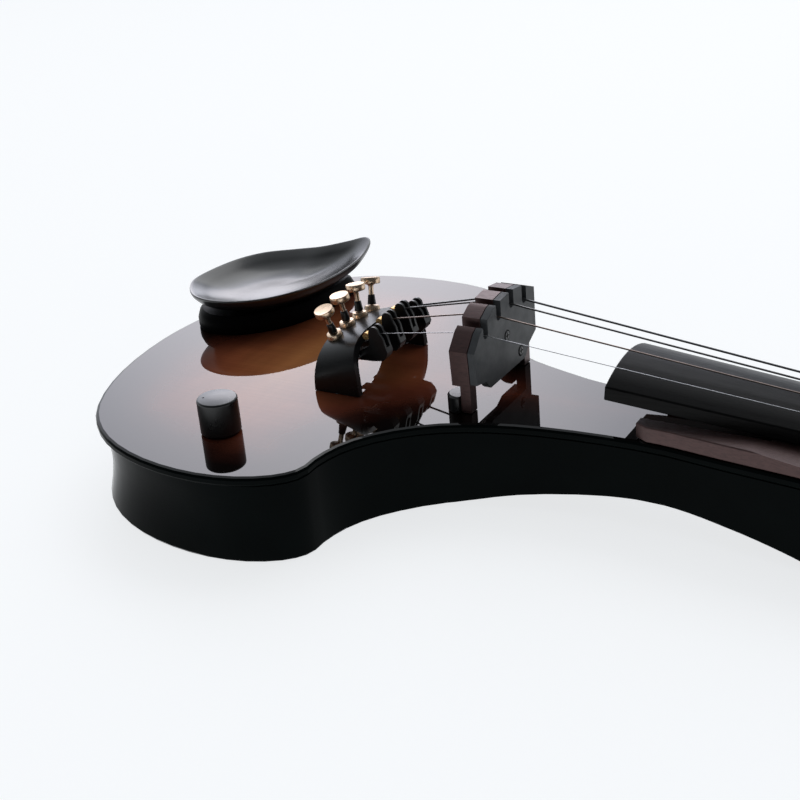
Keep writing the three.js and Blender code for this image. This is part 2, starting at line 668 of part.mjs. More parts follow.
const stringNames = ['e', 'a', 'd', 'g'];
tuners.forEach((frame, i) => {
  design.add(frame);
  const [headRadius, headThickness] = tunerHead;
  const [sleeveRadius, sleeveLength] = tunerSleeve;
  const sleeveStart = tunerCollar[1] + GAP;
  const sleeveEnd = sleeveStart + sleeveLength;
  add(`tuner_screw_${stringNames[i]}`, turned([
    [0, tunerTip], [tunerShaft, tunerTip], [tunerShaft, sleeveStart], [sleeveRadius, sleeveStart],
    [sleeveRadius, sleeveEnd], [tunerStem, sleeveEnd], [tunerStem, tunerReach - 0.6],
    [1.8 * tunerStem, tunerReach], [headRadius, tunerReach], [headRadius, tunerReach + headThickness],
    [0, tunerReach + headThickness],
  ], 16), gold, frame);
  add(`tuner_collar_${stringNames[i]}`, cut(
    turned([[0, -0.3], [tunerCollar[0], -0.3], [tunerCollar[0], tunerCollar[1] - 0.3],
      [tunerCollar[0] - 0.5, tunerCollar[1]], [0, tunerCollar[1]]], 16),
    post(0, 0, shaftHole, -3, 6, 10),
  ), gold, frame);
});

/** Side view of a tuner lever, [x, z] from its pivot: tail arm, pivot boss and upright fork. */
function leverOutline(top) {
  const back = forkFace - leverPivot[0];
  const front = back + forkThickness;
  const crown = [];
  for (let i = 0; i <= 8; i += 1) {
    const a = (i / 8) * Math.PI;
    const r = forkThickness / 2;
    crown.push([back + r + r * Math.cos(a), top - r + r * Math.sin(a)]);
  }
  const [toe, toeHeight] = [back + leverToe[0], leverToe[1]];
  return [
    [leverArm, -1.4], [-2, -1.9], [back + 1, -1.6], [lerp(front, toe, 0.3), -0.9], [toe - 0.8, 0.8],
    [toe, toeHeight], [toe - 0.9, toeHeight + 2.8], [lerp(front, toe, 0.5), lerp(toeHeight, top, 0.55)],
    ...crown, [back, 5.2], [1.6, 2.6], [-3, 1.5], [-9, -0.2], [leverArm, -0.4],
  ];
}
const leverArm = tunerStation - leverPivot[0] - 2.1; // tail end of the arm, just past the screw's tip
const levers = forkSpots.map((y, i) => {
  const frame = new THREE.Group();
  frame.position.set(leverPivot[0], y, leverPivot[1]);
  design.add(frame);
  const half = leverWidth / 2;
  const bore = new THREE.CylinderGeometry(leverAxle + 0.1, leverAxle + 0.1, 20, 20);
  const slot = box([forkFace - leverPivot[0] - 1, -forkSlot / 2, leverToe[1] + 2], [20, forkSlot / 2, 30]);
  const outline = leverOutline(forkTops[i] - leverPivot[1]);
  add(`tuner_lever_${stringNames[i]}`, cut(acrossY(outline, -half, half), bore, slot), satinBlack, frame);
  return frame;
});

// ---------------------------------------------------------------- bridge

/** Round bar or bore along X between two stations. */
function alongX(radius, x0, x1, y, z, sides = 20) {
  const geometry = new THREE.CylinderGeometry(radius, radius, x1 - x0, sides);
  return geometry.rotateZ(Math.PI / 2).translate((x0 + x1) / 2, y, z);
}

const crest = [
  [-bridgeHalfWidth - 0.9, 26.1], [-21.6, 32.1], [-17.1, 34.4], [-9.9, 38.0], [-5.9, 38.7], [3.8, 39.5],
  [7.5, 39.4], [15.4, 38.2], [18.9, 36.9], [bridgeHalfWidth, 33.6],
];
const slots = (x0, x1, floor) => stringSpacing.map((y, i) => {
  const half = bridgeSlot / 2;
  const z = floor(i) + half;
  return join(box([x0, y - half, z], [x1, y + half, 60]), alongX(half, x0, x1, y, z, 12));
});
const coreFront = -bridgePlateThickness - GAP;
const coreBack = coreFront - bridgeCoreDepth;
const [screwShank, screwHead] = bridgeScrewRadii;
const stringFloor = (i) => stringHeights[i] - stringRadii[i] - GAP;
const leg = (side) => box(
  [coreFront - bridgeLeg[0], side > 0 ? bridgeHalfWidth - bridgeLeg[1] : -bridgeHalfWidth, GAP],
  [coreFront, side > 0 ? bridgeHalfWidth : -bridgeHalfWidth + bridgeLeg[1], bridgeUnderside + 2],
);
add('bridge_core', cut(
  join(
    acrossX([[-bridgeHalfWidth, bridgeUnderside], [-14, bridgeUnderside], [-9, bridgeUnderside + 2.5],
      [9, bridgeUnderside + 2.5], [14, bridgeUnderside], [bridgeHalfWidth, bridgeUnderside],
      ...crest.toReversed()], coreBack, coreFront),
    leg(-1), leg(1),
  ),
  ...slots(-30, 5, (i) => stringFloor(i) - 0.2),
  alongX(screwShank + GAP, coreBack + 2, 5, ...bridgeScrews[0], 16),
), rosewood);
const [lobeHalf, lobeFloor] = bridgeLobe;
const screwSink = 1.3; // head thickness
add('bridge_plate', cut(
  acrossX([[-bridgeHalfWidth, 12.6], [-lobeHalf - 2.4, bridgeUnderside], [-lobeHalf, lobeFloor + 1],
    [-lobeHalf + 1.5, lobeFloor], [lobeHalf - 1.5, lobeFloor], [lobeHalf, lobeFloor + 1],
    [lobeHalf + 2.4, bridgeUnderside], [bridgeHalfWidth, 15], ...crest.toReversed()],
  -bridgePlateThickness, 0),
  ...slots(-30, 5, (i) => stringFloor(i) - 0.8),
  ...bridgeScrews.map(([y, z]) => alongX(screwShank + GAP, -10, 5, y, z, 16)),
  ...bridgeScrews.map(([y, z]) => alongX(screwHead + GAP, -screwSink - GAP, 5, y, z, 20)),
), blackSteel);
bridgeScrews.forEach(([y, z], i) => {
  const length = i === 0 ? 8 : bridgePlateThickness - 0.4; // only the upper one reaches into the core
  const screw = turned([[0, -length], [screwShank, -length], [screwShank, -screwSink],
    [screwHead, -screwSink], [screwHead, 0], [0, 0.25]], 20);
  screw.rotateY(Math.PI / 2).translate(0, y, z);
  add(`bridge_screw_${i + 1}`, screw, steel);
});
[-1, 1].forEach((side) => {
  const [x, y] = [coreFront - bridgeLeg[0] - 1.6, side * (bridgeHalfWidth - postInset)];
  const flat = coreFront - bridgeLeg[0] - GAP;
  const geometry = cut(
    turned([[0, GAP], [postRadius, GAP], [postRadius, postHeight - 1], [postRadius - 0.8, postHeight - 0.25],
      [0, postHeight]], 32).translate(x, y, 0),
    box([flat, y - 20, -5], [flat + 20, y + 20, 30]),
  );
  add(side < 0 ? 'bridge_post_treble' : 'bridge_post_bass', geometry, satinBlack);
});

// ---------------------------------------------------------------- neck, riser and fingerboard

const riserStations = Array.from({ length: 19 }, (_, i) => lerp(riserStart, riserEnd, i / 18));
const railTip = 2.5;
const trebleEdge = (x) => sideAt(x, -1) + riserInset;
const bassEdge = (x) => sideAt(x, 1) - riserInset;
const forkRoot = riserRail + 4; // the rails widen towards the fork's root
add('fingerboard_riser', cut(
  upright([
    ...riserStations.slice(1).map((x) => [x, trebleEdge(x)]),
    ...riserStations.slice(1).toReversed().map((x) => [x, bassEdge(x)]),
    [riserStart, bassEdge(riserStart) - railTip], [riserStart, bassEdge(riserStart) - riserRail],
    [riserForkEnd, bassEdge(riserForkEnd) - forkRoot],
    [riserForkEnd, trebleEdge(riserForkEnd) + forkRoot],
    [riserStart, trebleEdge(riserStart) + riserRail], [riserStart, trebleEdge(riserStart) + railTip],
  ], GAP, riserHeight, 0.4),
  boardClearance,
), rosewood);

const halfWidthAt = (x) => lerp(boardHalfWidths[0], boardHalfWidths[1], x / boardLength);
const archRise = (y) => Math.sqrt(boardRadius ** 2 - y ** 2);
const boardTopAt = (x, y) => boardEdge + archRise(y) - archRise(halfWidthAt(x));
const boardSection = [[-1, 0], [1, 0]];
for (let i = 0; i <= 12; i += 1) boardSection.push([1 - i / 6, 1]);
const boardGeometry = new THREE.ExtrudeGeometry(shapeOf(boardSection), {
  depth: 1, steps: 4, bevelEnabled: false,
});
add('fingerboard', warp(boardGeometry, (u, v, w) => {
  const x = w * boardLength;
  const y = u * halfWidthAt(x);
  return [x, y, v > 0.5 ? boardTopAt(x, y) : 0];
}), ebony, neckFrame);

/** Round-bottomed neck section of unit half-width and depth. */
const neckSection = [];
for (let i = 0; i <= 12; i += 1) {
  const a = Math.PI + (i / 12) * Math.PI;
  const shape = (v) => Math.sign(v) * Math.abs(v) ** (2 / 2.3);
  neckSection.push([shape(Math.cos(a)), shape(Math.sin(a))]);
}
const neckStart = heelLine + GAP;
const neckEnd = boardLength + 7;
const neckGeometry = warp(
  new THREE.ExtrudeGeometry(shapeOf(neckSection), { depth: 1, steps: 16, bevelEnabled: false }),
  (u, v, w) => {
    const x = lerp(neckStart, neckEnd, w);
    const width = halfWidthAt(Math.min(x, boardLength)) - 0.2;
    const depth = along(neckDepths, x) - GAP + (x > boardLength - 14 ? 0.2 * (x - boardLength + 14) : 0);
    return [x, u * width, -GAP + v * depth];
  },
);

const pegboxStart = boardLength + 6;
const pegboxHalf = (x) => lerp(pegboxWidths[0], pegboxWidths[1], (x - pegboxStart) / pegboxLength) / 2;
const pegboxEnd = pegboxStart + pegboxLength;
function plan(x0, x1, half, steps = 4) {
  const stations = Array.from({ length: steps + 1 }, (_, i) => lerp(x0, x1, i / steps));
  return [...stations.map((x) => [x, -half(x)]), ...stations.toReversed().map((x) => [x, half(x)])];
}
const pegboxSide = acrossY([
  [pegboxStart - 1, -headDepth], [pegboxEnd, -headDepth + 2.5], [pegboxEnd + 8, -9], [pegboxEnd + 8, 2],
  [pegboxEnd - 6, 0.5], [pegboxEnd - 20, -1], [pegboxStart - 1, -1],
], -30, 30);
const pegboxSolid = geometryOf(
  solid(upright(plan(pegboxStart - 1, pegboxEnd + 8, pegboxHalf), -30, 10)).intersect(solid(pegboxSide)),
);
const pegSlot = upright(
  plan(pegboxStart + 4, pegboxEnd - 5, (x) => pegboxHalf(x) - pegboxWall), -headDepth + 3.2, 20,
);
const scrollX = pegboxEnd + 12;
const scrollZ = -1.6;
const scrollDisc = (radius, half) => new THREE.CylinderGeometry(radius, radius, 2 * half, 24)
  .translate(scrollX, 0, scrollZ);
const pegs = pegStations.map((d, i) => ({
  x: boardLength + d, side: i % 2 ? -1 : 1, string: [3, 0, 2, 1][i],
}));
const pegAxis = (x, radius, y0, y1, sides = 24) => new THREE.CylinderGeometry(radius, radius, y1 - y0, sides)
  .translate(x, (y0 + y1) / 2, pegLine);
add('neck', cut(
  join(neckGeometry, pegboxSolid,
    ...[1, 0.62, 0.3].map((share, i) => scrollDisc(share * scrollRadius, scrollWidths[i] / 2))),
  pegSlot,
  ...pegs.map(({ x }) => pegAxis(x, pegRadius + RUNNING, -20, 20)),
), neckLacquer, neckFrame);

const nutStart = boardLength + GAP;
const nutEnd = boardLength + 5.6;
const stringAboveNut = (y) => boardTopAt(boardLength, y) + nutAction;
const nutProfile = Array.from({ length: 9 }, (_, i) => {
  const y = lerp(1, -1, i / 8) * (boardHalfWidths[1] - 0.2);
  return [y, stringAboveNut(y) - Math.max(...stringRadii) - GAP];
});
add('nut', acrossX([[-boardHalfWidths[1] + 0.2, 0], [boardHalfWidths[1] - 0.2, 0], ...nutProfile],
  nutStart, nutEnd), ebony, neckFrame);

pegs.forEach(({ x, side, string }) => {
  const wall = pegboxHalf(x);
  const profile = [
    [0, -wall - 2.2], [pegRadius - 0.3, -wall - 2.2], [pegRadius, -wall - 1.6], [pegRadius, wall + 2.5],
    [pegRadius + 1.5, wall + 3.2], [pegRadius + 1.5, wall + 5], [2.5, wall + 8.5], [2.7, wall + 11.5],
    [0, wall + 11.5],
  ];
  const grip = box([-9, -2.4, wall + 10.5], [9, 2.4, wall + 24]);
  const waist = new THREE.CylinderGeometry(9.6, 9.6, 8, 20).rotateX(Math.PI / 2)
    .rotateX(Math.PI / 2).translate(0, 0, wall + 19.5);
  const thumb = geometryOf(solid(grip).intersect(solid(waist)));
  const peg = join(turned(profile, 16), thumb).rotateX(side > 0 ? -Math.PI / 2 : Math.PI / 2);
  add(`peg_${stringNames[string]}`, peg.translate(x, 0, pegLine), ebony, neckFrame);
});

// ---------------------------------------------------------------- strings

stringNames.forEach((name, i) => {
  const radius = stringRadii[i];
  const inNeck = (x, y, z) => new THREE.Vector3(x, y, z).applyMatrix4(neckFrame.matrix);
  const peg = pegs.find(({ string }) => string === i);
  const nutY = lerp(-nutSpread / 2, nutSpread / 2, i / 3);
  const forkZ = forkStringHeights[i];
  const ball = new THREE.Vector3(forkFace - ballRadius - GAP, forkSpots[i], forkZ - ballDrop);
  const start = new THREE.Vector3(ball.x + ballRadius + GAP, forkSpots[i], forkZ);
  const bridgeBack = new THREE.Vector3(coreBack, stringSpacing[i] + 0.1 * Math.sign(-stringSpacing[i]),
    stringHeights[i] - 0.1);
  const bridgeTop = new THREE.Vector3(0, stringSpacing[i], stringHeights[i]);
  const atNut = inNeck(boardLength, nutY, stringAboveNut(nutY));
  const pastNut = inNeck(nutEnd, nutY * 0.97, stringAboveNut(nutY) - 0.1);
  const wrapRadius = pegRadius + radius + 0.25;
  const wrapPitch = 2 * radius + 0.35;
  const wrapY = [-2.2, -1.2, 0.6, 1.2][i];
  const turns = 2.25;
  const wraps = Array.from({ length: 22 }, (_, k) => {
    const a = (k / 21) * turns * 2 * Math.PI;
    return inNeck(peg.x + wrapRadius * Math.sin(a), wrapY + peg.side * wrapPitch * (a / (2 * Math.PI)),
      pegLine + wrapRadius * Math.cos(a));
  });
  const route = [start, bridgeBack, bridgeTop, atNut, pastNut, ...wraps];
  add(`string_${name}`, tube(route, radius, 6), steel);
  const ballFrame = levers[i];
  add(`ball_end_${name}`, new THREE.CylinderGeometry(ballRadius, ballRadius, ballLength, 16)
    .translate(ball.x - leverPivot[0], 0, ball.z - leverPivot[1]), brass, ballFrame);
});

export default instrument;
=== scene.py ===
"""Looks of a 4/4 electric violin: a slim one-sided body with a sunburst top, a tailpiece arch with
fine tuners, a screwed bridge and a chin rest. Metres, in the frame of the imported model: the origin is
on the flat back under the lower bout, +X towards the scroll, +Y to the bass side, +Z up."""

import json
import math

import bmesh
import bpy
from mathutils import Matrix, Vector, kdtree


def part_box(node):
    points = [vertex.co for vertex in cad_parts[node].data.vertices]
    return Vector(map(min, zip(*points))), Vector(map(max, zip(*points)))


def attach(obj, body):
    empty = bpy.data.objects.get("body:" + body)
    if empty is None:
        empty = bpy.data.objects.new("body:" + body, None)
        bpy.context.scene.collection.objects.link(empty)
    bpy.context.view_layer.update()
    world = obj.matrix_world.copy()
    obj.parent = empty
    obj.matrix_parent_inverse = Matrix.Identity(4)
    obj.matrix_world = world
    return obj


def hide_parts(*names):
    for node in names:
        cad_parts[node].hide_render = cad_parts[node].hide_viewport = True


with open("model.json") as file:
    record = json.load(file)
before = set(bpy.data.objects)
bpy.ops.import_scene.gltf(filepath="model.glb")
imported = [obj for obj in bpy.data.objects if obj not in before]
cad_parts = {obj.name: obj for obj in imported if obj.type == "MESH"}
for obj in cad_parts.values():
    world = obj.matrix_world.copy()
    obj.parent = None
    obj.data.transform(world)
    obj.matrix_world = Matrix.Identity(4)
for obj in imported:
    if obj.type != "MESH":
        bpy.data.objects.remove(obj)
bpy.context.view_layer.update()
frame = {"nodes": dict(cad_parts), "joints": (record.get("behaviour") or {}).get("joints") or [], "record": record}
MM = 0.001
SCENE = bpy.context.scene
NODES = frame["nodes"]
BODY_OF = {node: body for body, nodes in frame["record"]["behaviour"]["bodies"].items() for node in nodes}
SLOT_OF = {part["node"]: part["material_slot"] for part in frame["record"]["subparts"]}
JOINTS = {joint["name"]: joint for joint in frame["joints"]}
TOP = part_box("top_plate")[1].z  # height of the flat top
STRINGS = "eadg"


# ------------------------------------------------------------------ camera, light and floor

CAMERA_PLACE = (0.334286, -0.483035, 0.291632)
CAMERA_ANGLES = (31.788, 25.494, 5.124)  # azimuth from -Y towards +X, elevation and roll, degrees
CAMERA_LENS, CAMERA_SENSOR = 67.673, 36  # mm
CAMERA_SHIFT = (-0.0045, 0.0066)
CLOTH_ANGLES = (33, 23)  # azimuth and elevation of the cloth's brightest place, degrees
CLOTH_STRENGTH = 5.0


def make_camera():
    """The viewing angle, with a small roll of the camera."""
    azimuth, elevation, roll = (math.radians(a) for a in CAMERA_ANGLES)
    place = Vector(CAMERA_PLACE)
    forward = Vector((-math.sin(azimuth) * math.cos(elevation), math.cos(azimuth) * math.cos(elevation),
                      -math.sin(elevation)))
    level = Vector((math.cos(azimuth), math.sin(azimuth), 0))
    down = forward.cross(level)
    right = math.cos(roll) * level + math.sin(roll) * down
    up = math.sin(roll) * level - math.cos(roll) * down
    data = bpy.data.cameras.new("camera")
    data.lens, data.sensor_width = CAMERA_LENS, CAMERA_SENSOR
    data.shift_x, data.shift_y = CAMERA_SHIFT
    data.clip_start, data.clip_end = 0.01, 50
    camera = bpy.data.objects.new("camera", data)
    SCENE.collection.objects.link(camera)
    camera.matrix_world = Matrix.Translation(place) @ Matrix((right, up, -forward)).transposed().to_4x4()
    SCENE.camera = camera


def softbox(name, place, aim, size, radiance):
    """A rectangular light of an even radiance that the camera itself doesn't see."""
    data = bpy.data.lights.new(name, "AREA")
    data.shape, data.size, data.size_y = "RECTANGLE", *size
    data.energy = radiance * math.pi * size[0] * size[1]
    light = bpy.data.objects.new(name, data)
    SCENE.collection.objects.link(light)
    light.location = place
    light.rotation_euler = (Vector(aim) - Vector(place)).to_track_quat("-Z", "Y").to_euler()
    light.visible_camera = False


def make_studio():
    """A bright cloth behind the instrument that the lacquer mirrors, dark room on the camera's side."""
    SCENE.view_settings.view_transform = "Standard"
    world = bpy.data.worlds.new("studio")
    SCENE.world = world
    world.use_nodes = True
    graph = Graph(world.node_tree)
    azimuth, elevation = (math.radians(a) for a in CLOTH_ANGLES)
    centre = (-math.sin(azimuth) * math.cos(elevation), math.cos(azimuth) * math.cos(elevation),
              math.sin(elevation))
    facing = graph.add("ShaderNodeVectorMath", {0: graph.add("ShaderNodeTexCoord").outputs["Generated"],
                                                1: centre}, operation="DOT_PRODUCT").outputs["Value"]
    facing = graph.add("ShaderNodeMapRange", {"Value": facing, "From Min": -1.0}).outputs[0]
    cloth = graph.ramp(facing, [(0.0, (0.004, 0.0045, 0.005)), (0.5, (0.02, 0.0215, 0.023)),
                                (0.8, (0.09, 0.095, 0.10)), (0.93, (0.16, 0.168, 0.18)),
                                (0.972, (0.24, 0.25, 0.28)), (0.99, (0.52, 0.53, 0.59)),
                                (1.0, (0.86, 0.84, 0.90))])
    background = graph.add("ShaderNodeBackground", Color=cloth, Strength=CLOTH_STRENGTH)
    graph.link(background.outputs[0], graph.add("ShaderNodeOutputWorld").inputs["Surface"])
    softbox("overhead", (0.1, 1.0, 1.3), (0.1, 0.0, 0.0), (1.6, 0.8), 1.2)
    bpy.ops.mesh.primitive_plane_add(size=8)
    floor = bpy.context.object
    floor.name = "floor"
    floor.data.materials.append(painted("floor_paper", (0.34, 0.35, 0.355), 0.9, mottle=0.01, grain=3, **{
        "Emission Color": (0.97, 0.985, 1.0, 1), "Emission Strength": 0.78, "Specular IOR Level": 0.0}))


# ------------------------------------------------------------------ node materials

class Graph:
    """A short way to write a node tree."""

    def __init__(self, tree):
        self.tree = tree
        tree.nodes.clear()

    def add(self, kind, inputs=None, **settings):
        node = self.tree.nodes.new(kind)
        for key, value in settings.items():
            if key in node.inputs and not hasattr(type(node), key):
                self.put(node.inputs[key], value)
            else:
                setattr(node, key, value)
        for key, value in (inputs or {}).items():
            self.put(node.inputs[key], value)
        return node

    def put(self, socket, value):
        if isinstance(value, bpy.types.NodeSocket):
            self.tree.links.new(value, socket)
        elif socket.type == "RGBA" and len(value) == 3:
            socket.default_value = (*value, 1)
        else:
            socket.default_value = value

    def link(self, output, socket):
        self.tree.links.new(output, socket)

    def ramp(self, value, stops):
        """Colour or grey by value: stops are (position, grey or colour)."""
        node = self.add("ShaderNodeValToRGB", {"Fac": value})
        elements = node.color_ramp.elements
        while len(elements) < len(stops):
            elements.new(0.5)
        for element, (position, colour) in zip(elements, stops):
            element.position = position
            element.color = (colour,) * 3 + (1,) if isinstance(colour, (int, float)) else (*colour, 1)
        return node.outputs["Color"]

    def place(self, stretch=(1, 1, 1)):
        coordinates = self.add("ShaderNodeTexCoord").outputs["Object"]
        return self.add("ShaderNodeMapping", {"Vector": coordinates, "Scale": stretch}).outputs[0]

    def noise(self, size_mm, stretch=(1, 1, 1), detail=3.0, roughness=0.55):
        """Noise with features of about that size, drawn out where stretch is small."""
        return self.add("ShaderNodeTexNoise", {
            "Vector": self.place(stretch), "Scale": 1 / (size_mm * MM), "Detail": detail,
            "Roughness": roughness}).outputs["Fac"]

    def mix(self, factor, a, b, kind="MIX"):
        node = self.add("ShaderNodeMix", data_type="RGBA", blend_type=kind)
        for socket, value in zip((node.inputs[0], node.inputs[6], node.inputs[7]), (factor, a, b)):
            self.put(socket, value)
        return node.outputs[2]

    def times(self, a, b):
        return self.add("ShaderNodeMath", {0: a, 1: b}, operation="MULTIPLY").outputs[0]

    def spread(self, value, low, high):
        return self.add("ShaderNodeMapRange", {"Value": value, "From Min": 0.3, "From Max": 0.7,
                                               "To Min": low, "To Max": high}).outputs[0]

    def bump(self, height, distance_mm, strength):
        inputs = {"Height": height, "Distance": distance_mm * MM, "Strength": strength}
        return self.add("ShaderNodeBump", inputs).outputs[0]


MADE = {}


def shader(name, build, **sockets):
    """A material with one Principled shader; build(graph, shader) links what varies over the surface."""
    if name not in MADE:
        material = bpy.data.materials.new(name)
        material.use_nodes = True
        graph = Graph(material.node_tree)
        principled = graph.add("ShaderNodeBsdfPrincipled", sockets)
        build(graph, principled)
        graph.link(principled.outputs[0], graph.add("ShaderNodeOutputMaterial").inputs["Surface"])
        MADE[name] = material
    return MADE[name]


def shades(colour, amount):
    return [tuple(min(1, c * (1 + s * amount)) for c in colour) for s in (-1, 1)]


def painted(name, colour, roughness, mottle=0.2, grain=6, bump=0.0, **sockets):
    """Paint, plastic or a coating: soft mottling, a roughness that varies and fine texture."""
    def build(graph, out):
        dark, light = shades(colour, mottle)
        cloud = graph.noise(grain, detail=4)
        graph.put(out.inputs["Base Color"], graph.ramp(cloud, [(0.3, dark), (0.7, light)]))
        wear = graph.noise(grain * 2.6, detail=5, roughness=0.65)
        graph.put(out.inputs["Roughness"], graph.spread(wear, roughness * 0.85, roughness * 1.15))
        if bump:
            graph.put(out.inputs["Normal"], graph.bump(graph.noise(0.35, detail=2), bump, 0.6))
    return shader(name, build, **sockets)


def metal(name, colour, roughness):
    """Machined or plated metal with fine marks and a slightly uneven tone."""
    def build(graph, out):
        dark, light = shades(colour, 0.1)
        marks = graph.noise(0.5, detail=3)
        tone = graph.ramp(graph.noise(2.5, detail=3), [(0.35, dark), (0.65, light)])
        graph.put(out.inputs["Base Color"], tone)
        graph.put(out.inputs["Roughness"], graph.spread(marks, roughness * 0.7, roughness * 1.35))
        graph.put(out.inputs["Normal"], graph.bump(marks, 0.01, 0.5))
    return shader(name, build, Metallic=1.0)


def wood(name, dark, light, roughness, stretch=(0.05, 1, 1), figure=1.6, pore=0.03, **sockets):
    """Open-pored wood: streaks and short dark pores drawn out along the grain."""
    def build(graph, out):
        streaks = graph.noise(figure, stretch, detail=6, roughness=0.6)
        tone = graph.ramp(streaks, [(0.28, dark), (0.5, tuple((a + b) / 2 for a, b in zip(dark, light))),
                                    (0.74, light)])
        pores = graph.noise(0.42, tuple(s * 0.9 for s in stretch), detail=2, roughness=0.5)
        open_pore = graph.ramp(pores, [(0.36, 0.0), (0.46, 1.0)])
        colour = graph.mix(open_pore, tuple(c * 0.45 for c in dark), tone)
        graph.put(out.inputs["Base Color"], colour)
        graph.put(out.inputs["Roughness"], graph.spread(streaks, roughness * 1.15, roughness * 0.85))
        graph.put(out.inputs["Normal"], graph.bump(open_pore, pore, 0.5))
    return shader(name, build, **sockets)


BURST_WIDTH = 0.075  # from the plate's edge to the full amber, m


def sunburst():
    """Amber in the middle, red-brown and then black at the edge, under a thick clear lacquer."""
    def build(graph, out):
        edge = graph.add("ShaderNodeAttribute", attribute_name="edge_distance").outputs["Fac"]
        wander = graph.spread(graph.noise(38, detail=2), 0.86, 1.14)
        depth = graph.times(graph.times(edge, wander), 1 / BURST_WIDTH)
        burst = graph.ramp(depth, [(0.0, (0.002, 0.002, 0.002)), (0.14, (0.006, 0.003, 0.0025)),
                                   (0.26, (0.03, 0.009, 0.006)), (0.42, (0.15, 0.038, 0.02)),
                                   (0.65, (0.30, 0.088, 0.036)), (1.0, (0.42, 0.165, 0.058))])
        flame = graph.ramp(graph.noise(9, (0.9, 0.12, 1), detail=4), [(0.3, 0.8), (0.7, 1.0)])
        grain = graph.ramp(graph.noise(0.9, (0.04, 1, 1), detail=4), [(0.3, 0.86), (0.7, 1.0)])
        figured = graph.mix(1.0, graph.mix(1.0, burst, flame, "MULTIPLY"), grain, "MULTIPLY")
        graph.put(out.inputs["Base Color"], figured)
        ripple = graph.noise(60, detail=1)
        graph.put(out.inputs["Coat Normal"], graph.bump(ripple, 0.12, 0.35))
    return shader("sunburst_lacquer", build, **{
        "Roughness": 0.6, "Specular IOR Level": 0.0, "Coat Weight": 0.85, "Coat Roughness": 0.02,
        "Coat IOR": 1.5})


def finishes():
    """The material of each of the record's slots, apart from the strings' one."""
    gloss = {"Specular IOR Level": 0.025}
    return {
        "sunburst_lacquer": sunburst(),
        "black_lacquer": painted("black_lacquer", (0.0022, 0.0036, 0.0036), 0.1, 0.25, 30, **gloss),
        "neck_lacquer": painted("neck_lacquer", (0.004, 0.004, 0.004), 0.14, 0.25, 30, **gloss),
        "black_composite": painted("black_composite", (0.004, 0.0044, 0.0048), 0.3, 0.15, 5, 0.003,
                                   IOR=1.65),
        "blackened_steel": painted("blackened_steel", (0.018, 0.019, 0.020), 0.32, 0.2, 2, Metallic=0.3),
        "bright_steel": metal("bright_steel", (0.62, 0.63, 0.64), 0.24),
        "battery_case": painted("battery_case", (0.09, 0.10, 0.12), 0.4, 0.1, 8, Metallic=0.4),
        "circuit_board": painted("circuit_board", (0.015, 0.09, 0.04), 0.45, 0.25, 4),
        "satin_black_cup": painted("satin_black_cup", (0.006, 0.0065, 0.007), 0.26, 0.08, 30, 0.0,
                                   IOR=1.8, **{"Specular IOR Level": 0.6}),
        "satin_black_metal": painted("satin_black_metal", (0.005, 0.0055, 0.006), 0.3, 0.2, 4, 0.006),
        "gilt": metal("gilt", (0.80, 0.60, 0.43), 0.3),
        "ball_brass": metal("ball_brass", (0.66, 0.42, 0.18), 0.3),
        "rosewood": wood("rosewood", (0.012, 0.005, 0.0045), (0.034, 0.015, 0.013), 0.42, (0.2, 1, 1), 0.8,
                         0.04, **{"Specular IOR Level": 0.95, "Specular Tint": (1.0, 0.68, 0.66, 1)}),
        "grey_black_plate": painted("grey_black_plate", (0.042, 0.046, 0.050), 0.55, 0.14, 3, 0.012),
        "ebony": wood("ebony", (0.002, 0.002, 0.002), (0.006, 0.0058, 0.0056), 0.36, pore=0.01, figure=1.2,
                      **{"Specular IOR Level": 0.1}),
    }


STRING_COLOURS = {"e": (0.55, 0.55, 0.56), "a": (0.26, 0.20, 0.17), "d": (0.17, 0.165, 0.16),
                  "g": (0.13, 0.13, 0.13)}


def string_metal(name):
    """The E string is bare steel; the others are wound, and darker from the A to the G."""
    return metal("string_" + name, STRING_COLOURS[name], 0.32)


# ------------------------------------------------------------------ mesh helpers

def shown(name, mesh, node, material=None):
    """A new piece that stands for a CAD node, on that node's body and in its slot."""
    piece = bpy.data.objects.new(name, mesh)
    SCENE.collection.objects.link(piece)
    mesh.materials.clear()
    mesh.materials.append(material or FINISH[SLOT_OF[node]])
    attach(piece, BODY_OF[node])
    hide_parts(node)
    return piece


def cad_mesh(node):
    """The node's own mesh, with its vertices merged and its flat faces whole."""
    mesh = bmesh.new()
    mesh.from_mesh(NODES[node].data)
    bmesh.ops.remove_doubles(mesh, verts=mesh.verts, dist=1e-6)
    bmesh.ops.dissolve_limit(mesh, angle_limit=math.radians(0.6), verts=mesh.verts, edges=mesh.edges)
    return mesh


def to_mesh(source, name, sharp=35):
    """A mesh with smooth shading between faces that meet at less than the sharp angle."""
    mesh = bpy.data.meshes.new(name)
    source.to_mesh(mesh)
    source.free()
    if "custom_normal" in mesh.attributes:
        mesh.attributes.remove(mesh.attributes["custom_normal"])
    mesh.shade_smooth()
    mesh.set_sharp_from_angle(angle=math.radians(sharp))
    return mesh


def eased(piece, width_mm=0.0, angle=35):
    """Rounds the piece's sharp edges and keeps its flat faces flat to the eye."""
    if width_mm:
        bevel = piece.modifiers.new("edges", "BEVEL")
        bevel.limit_method, bevel.angle_limit = "ANGLE", math.radians(angle)
        bevel.width, bevel.segments = width_mm * MM, 2
        bevel.use_clamp_overlap = True
    normals = piece.modifiers.new("normals", "WEIGHTED_NORMAL")
    normals.keep_sharp, normals.weight = True, 80


def refine(node, width_mm, angle=35, material=None):
    """A copy of a CAD node with rounded edges and even shading."""
    mesh = to_mesh(cad_mesh(node), node + "_fine", angle)
    eased(shown(node + "_fine", mesh, node, material), width_mm, angle)


